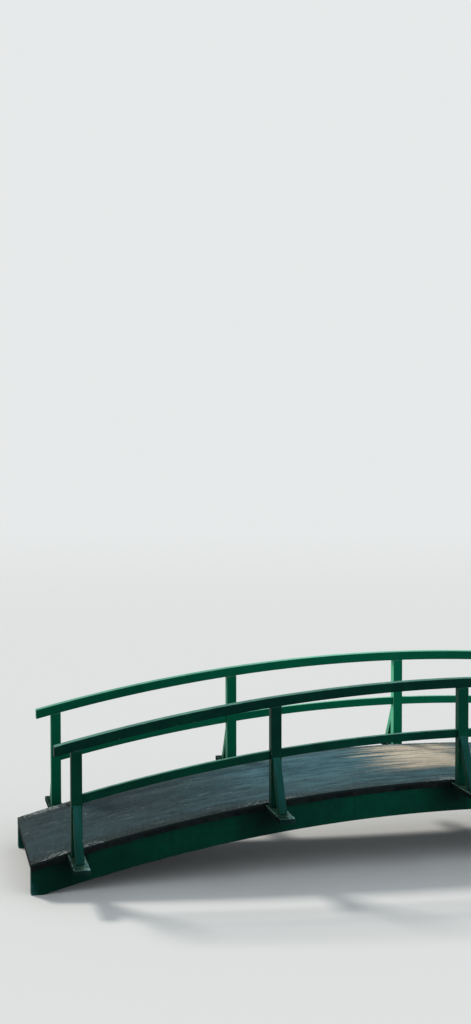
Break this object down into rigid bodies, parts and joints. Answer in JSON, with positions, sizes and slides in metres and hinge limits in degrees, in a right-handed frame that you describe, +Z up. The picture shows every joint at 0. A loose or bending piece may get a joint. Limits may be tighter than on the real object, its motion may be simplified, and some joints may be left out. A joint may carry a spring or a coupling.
{
  "type": "moon bridge",
  "caption": "Arched timber footbridge with green posts, curved top and middle rails, raking braces on outstanding sills and a weathered grey deck.",
  "frame": {"origin": "under the middle of the bridge, level with the seats of the edge beams", "axes": "+X along the bridge, +Y across it, +Z up"},
  "size_m": [8.2, 2.71, 1.8356],
  "materials": {
    "green_paint": "green oil paint on planed timber, satin, lightly weathered",
    "plank_wood": "bare dark brown plank ends, damp and rough",
    "sill_wood": "bare grey timber with thin moss and lichen on top",
    "worn_deck": "worn, gritty, weathered grey walking surface"
  },
  "bodies": {
    "root": {"edge_beam_near": "green_paint", "edge_beam_far": "green_paint", "top_rail_near": "green_paint", "top_rail_far": "green_paint", "post_near_1": "green_paint", "post_near_2": "green_paint", "post_near_3": "green_paint", "post_near_4": "green_paint", "post_near_5": "green_paint", "post_far_1": "green_paint", "post_far_2": "green_paint", "post_far_3": "green_paint", "post_far_4": "green_paint", "post_far_5": "green_paint", "raker_near_1": "green_paint", "raker_near_2": "green_paint", "raker_near_3": "green_paint", "raker_near_4": "green_paint", "raker_near_5": "green_paint", "raker_far_1": "green_paint", "raker_far_2": "green_paint", "raker_far_3": "green_paint", "raker_far_4": "green_paint", "raker_far_5": "green_paint", "mid_rail_near_1": "green_paint", "mid_rail_near_2": "green_paint", "mid_rail_near_3": "green_paint", "mid_rail_near_4": "green_paint", "mid_rail_far_1": "green_paint", "mid_rail_far_2": "green_paint", "mid_rail_far_3": "green_paint", "mid_rail_far_4": "green_paint", "deck_planks_1": "plank_wood", "deck_planks_2": "plank_wood", "deck_planks_3": "plank_wood", "deck_planks_4": "plank_wood", "deck_planks_5": "plank_wood", "deck_planks_6": "plank_wood", "sill_1": "sill_wood", "sill_2": "sill_wood", "sill_3": "sill_wood", "sill_4": "sill_wood", "sill_5": "sill_wood", "deck_surface": "worn_deck"}
  },
  "joints": []
}
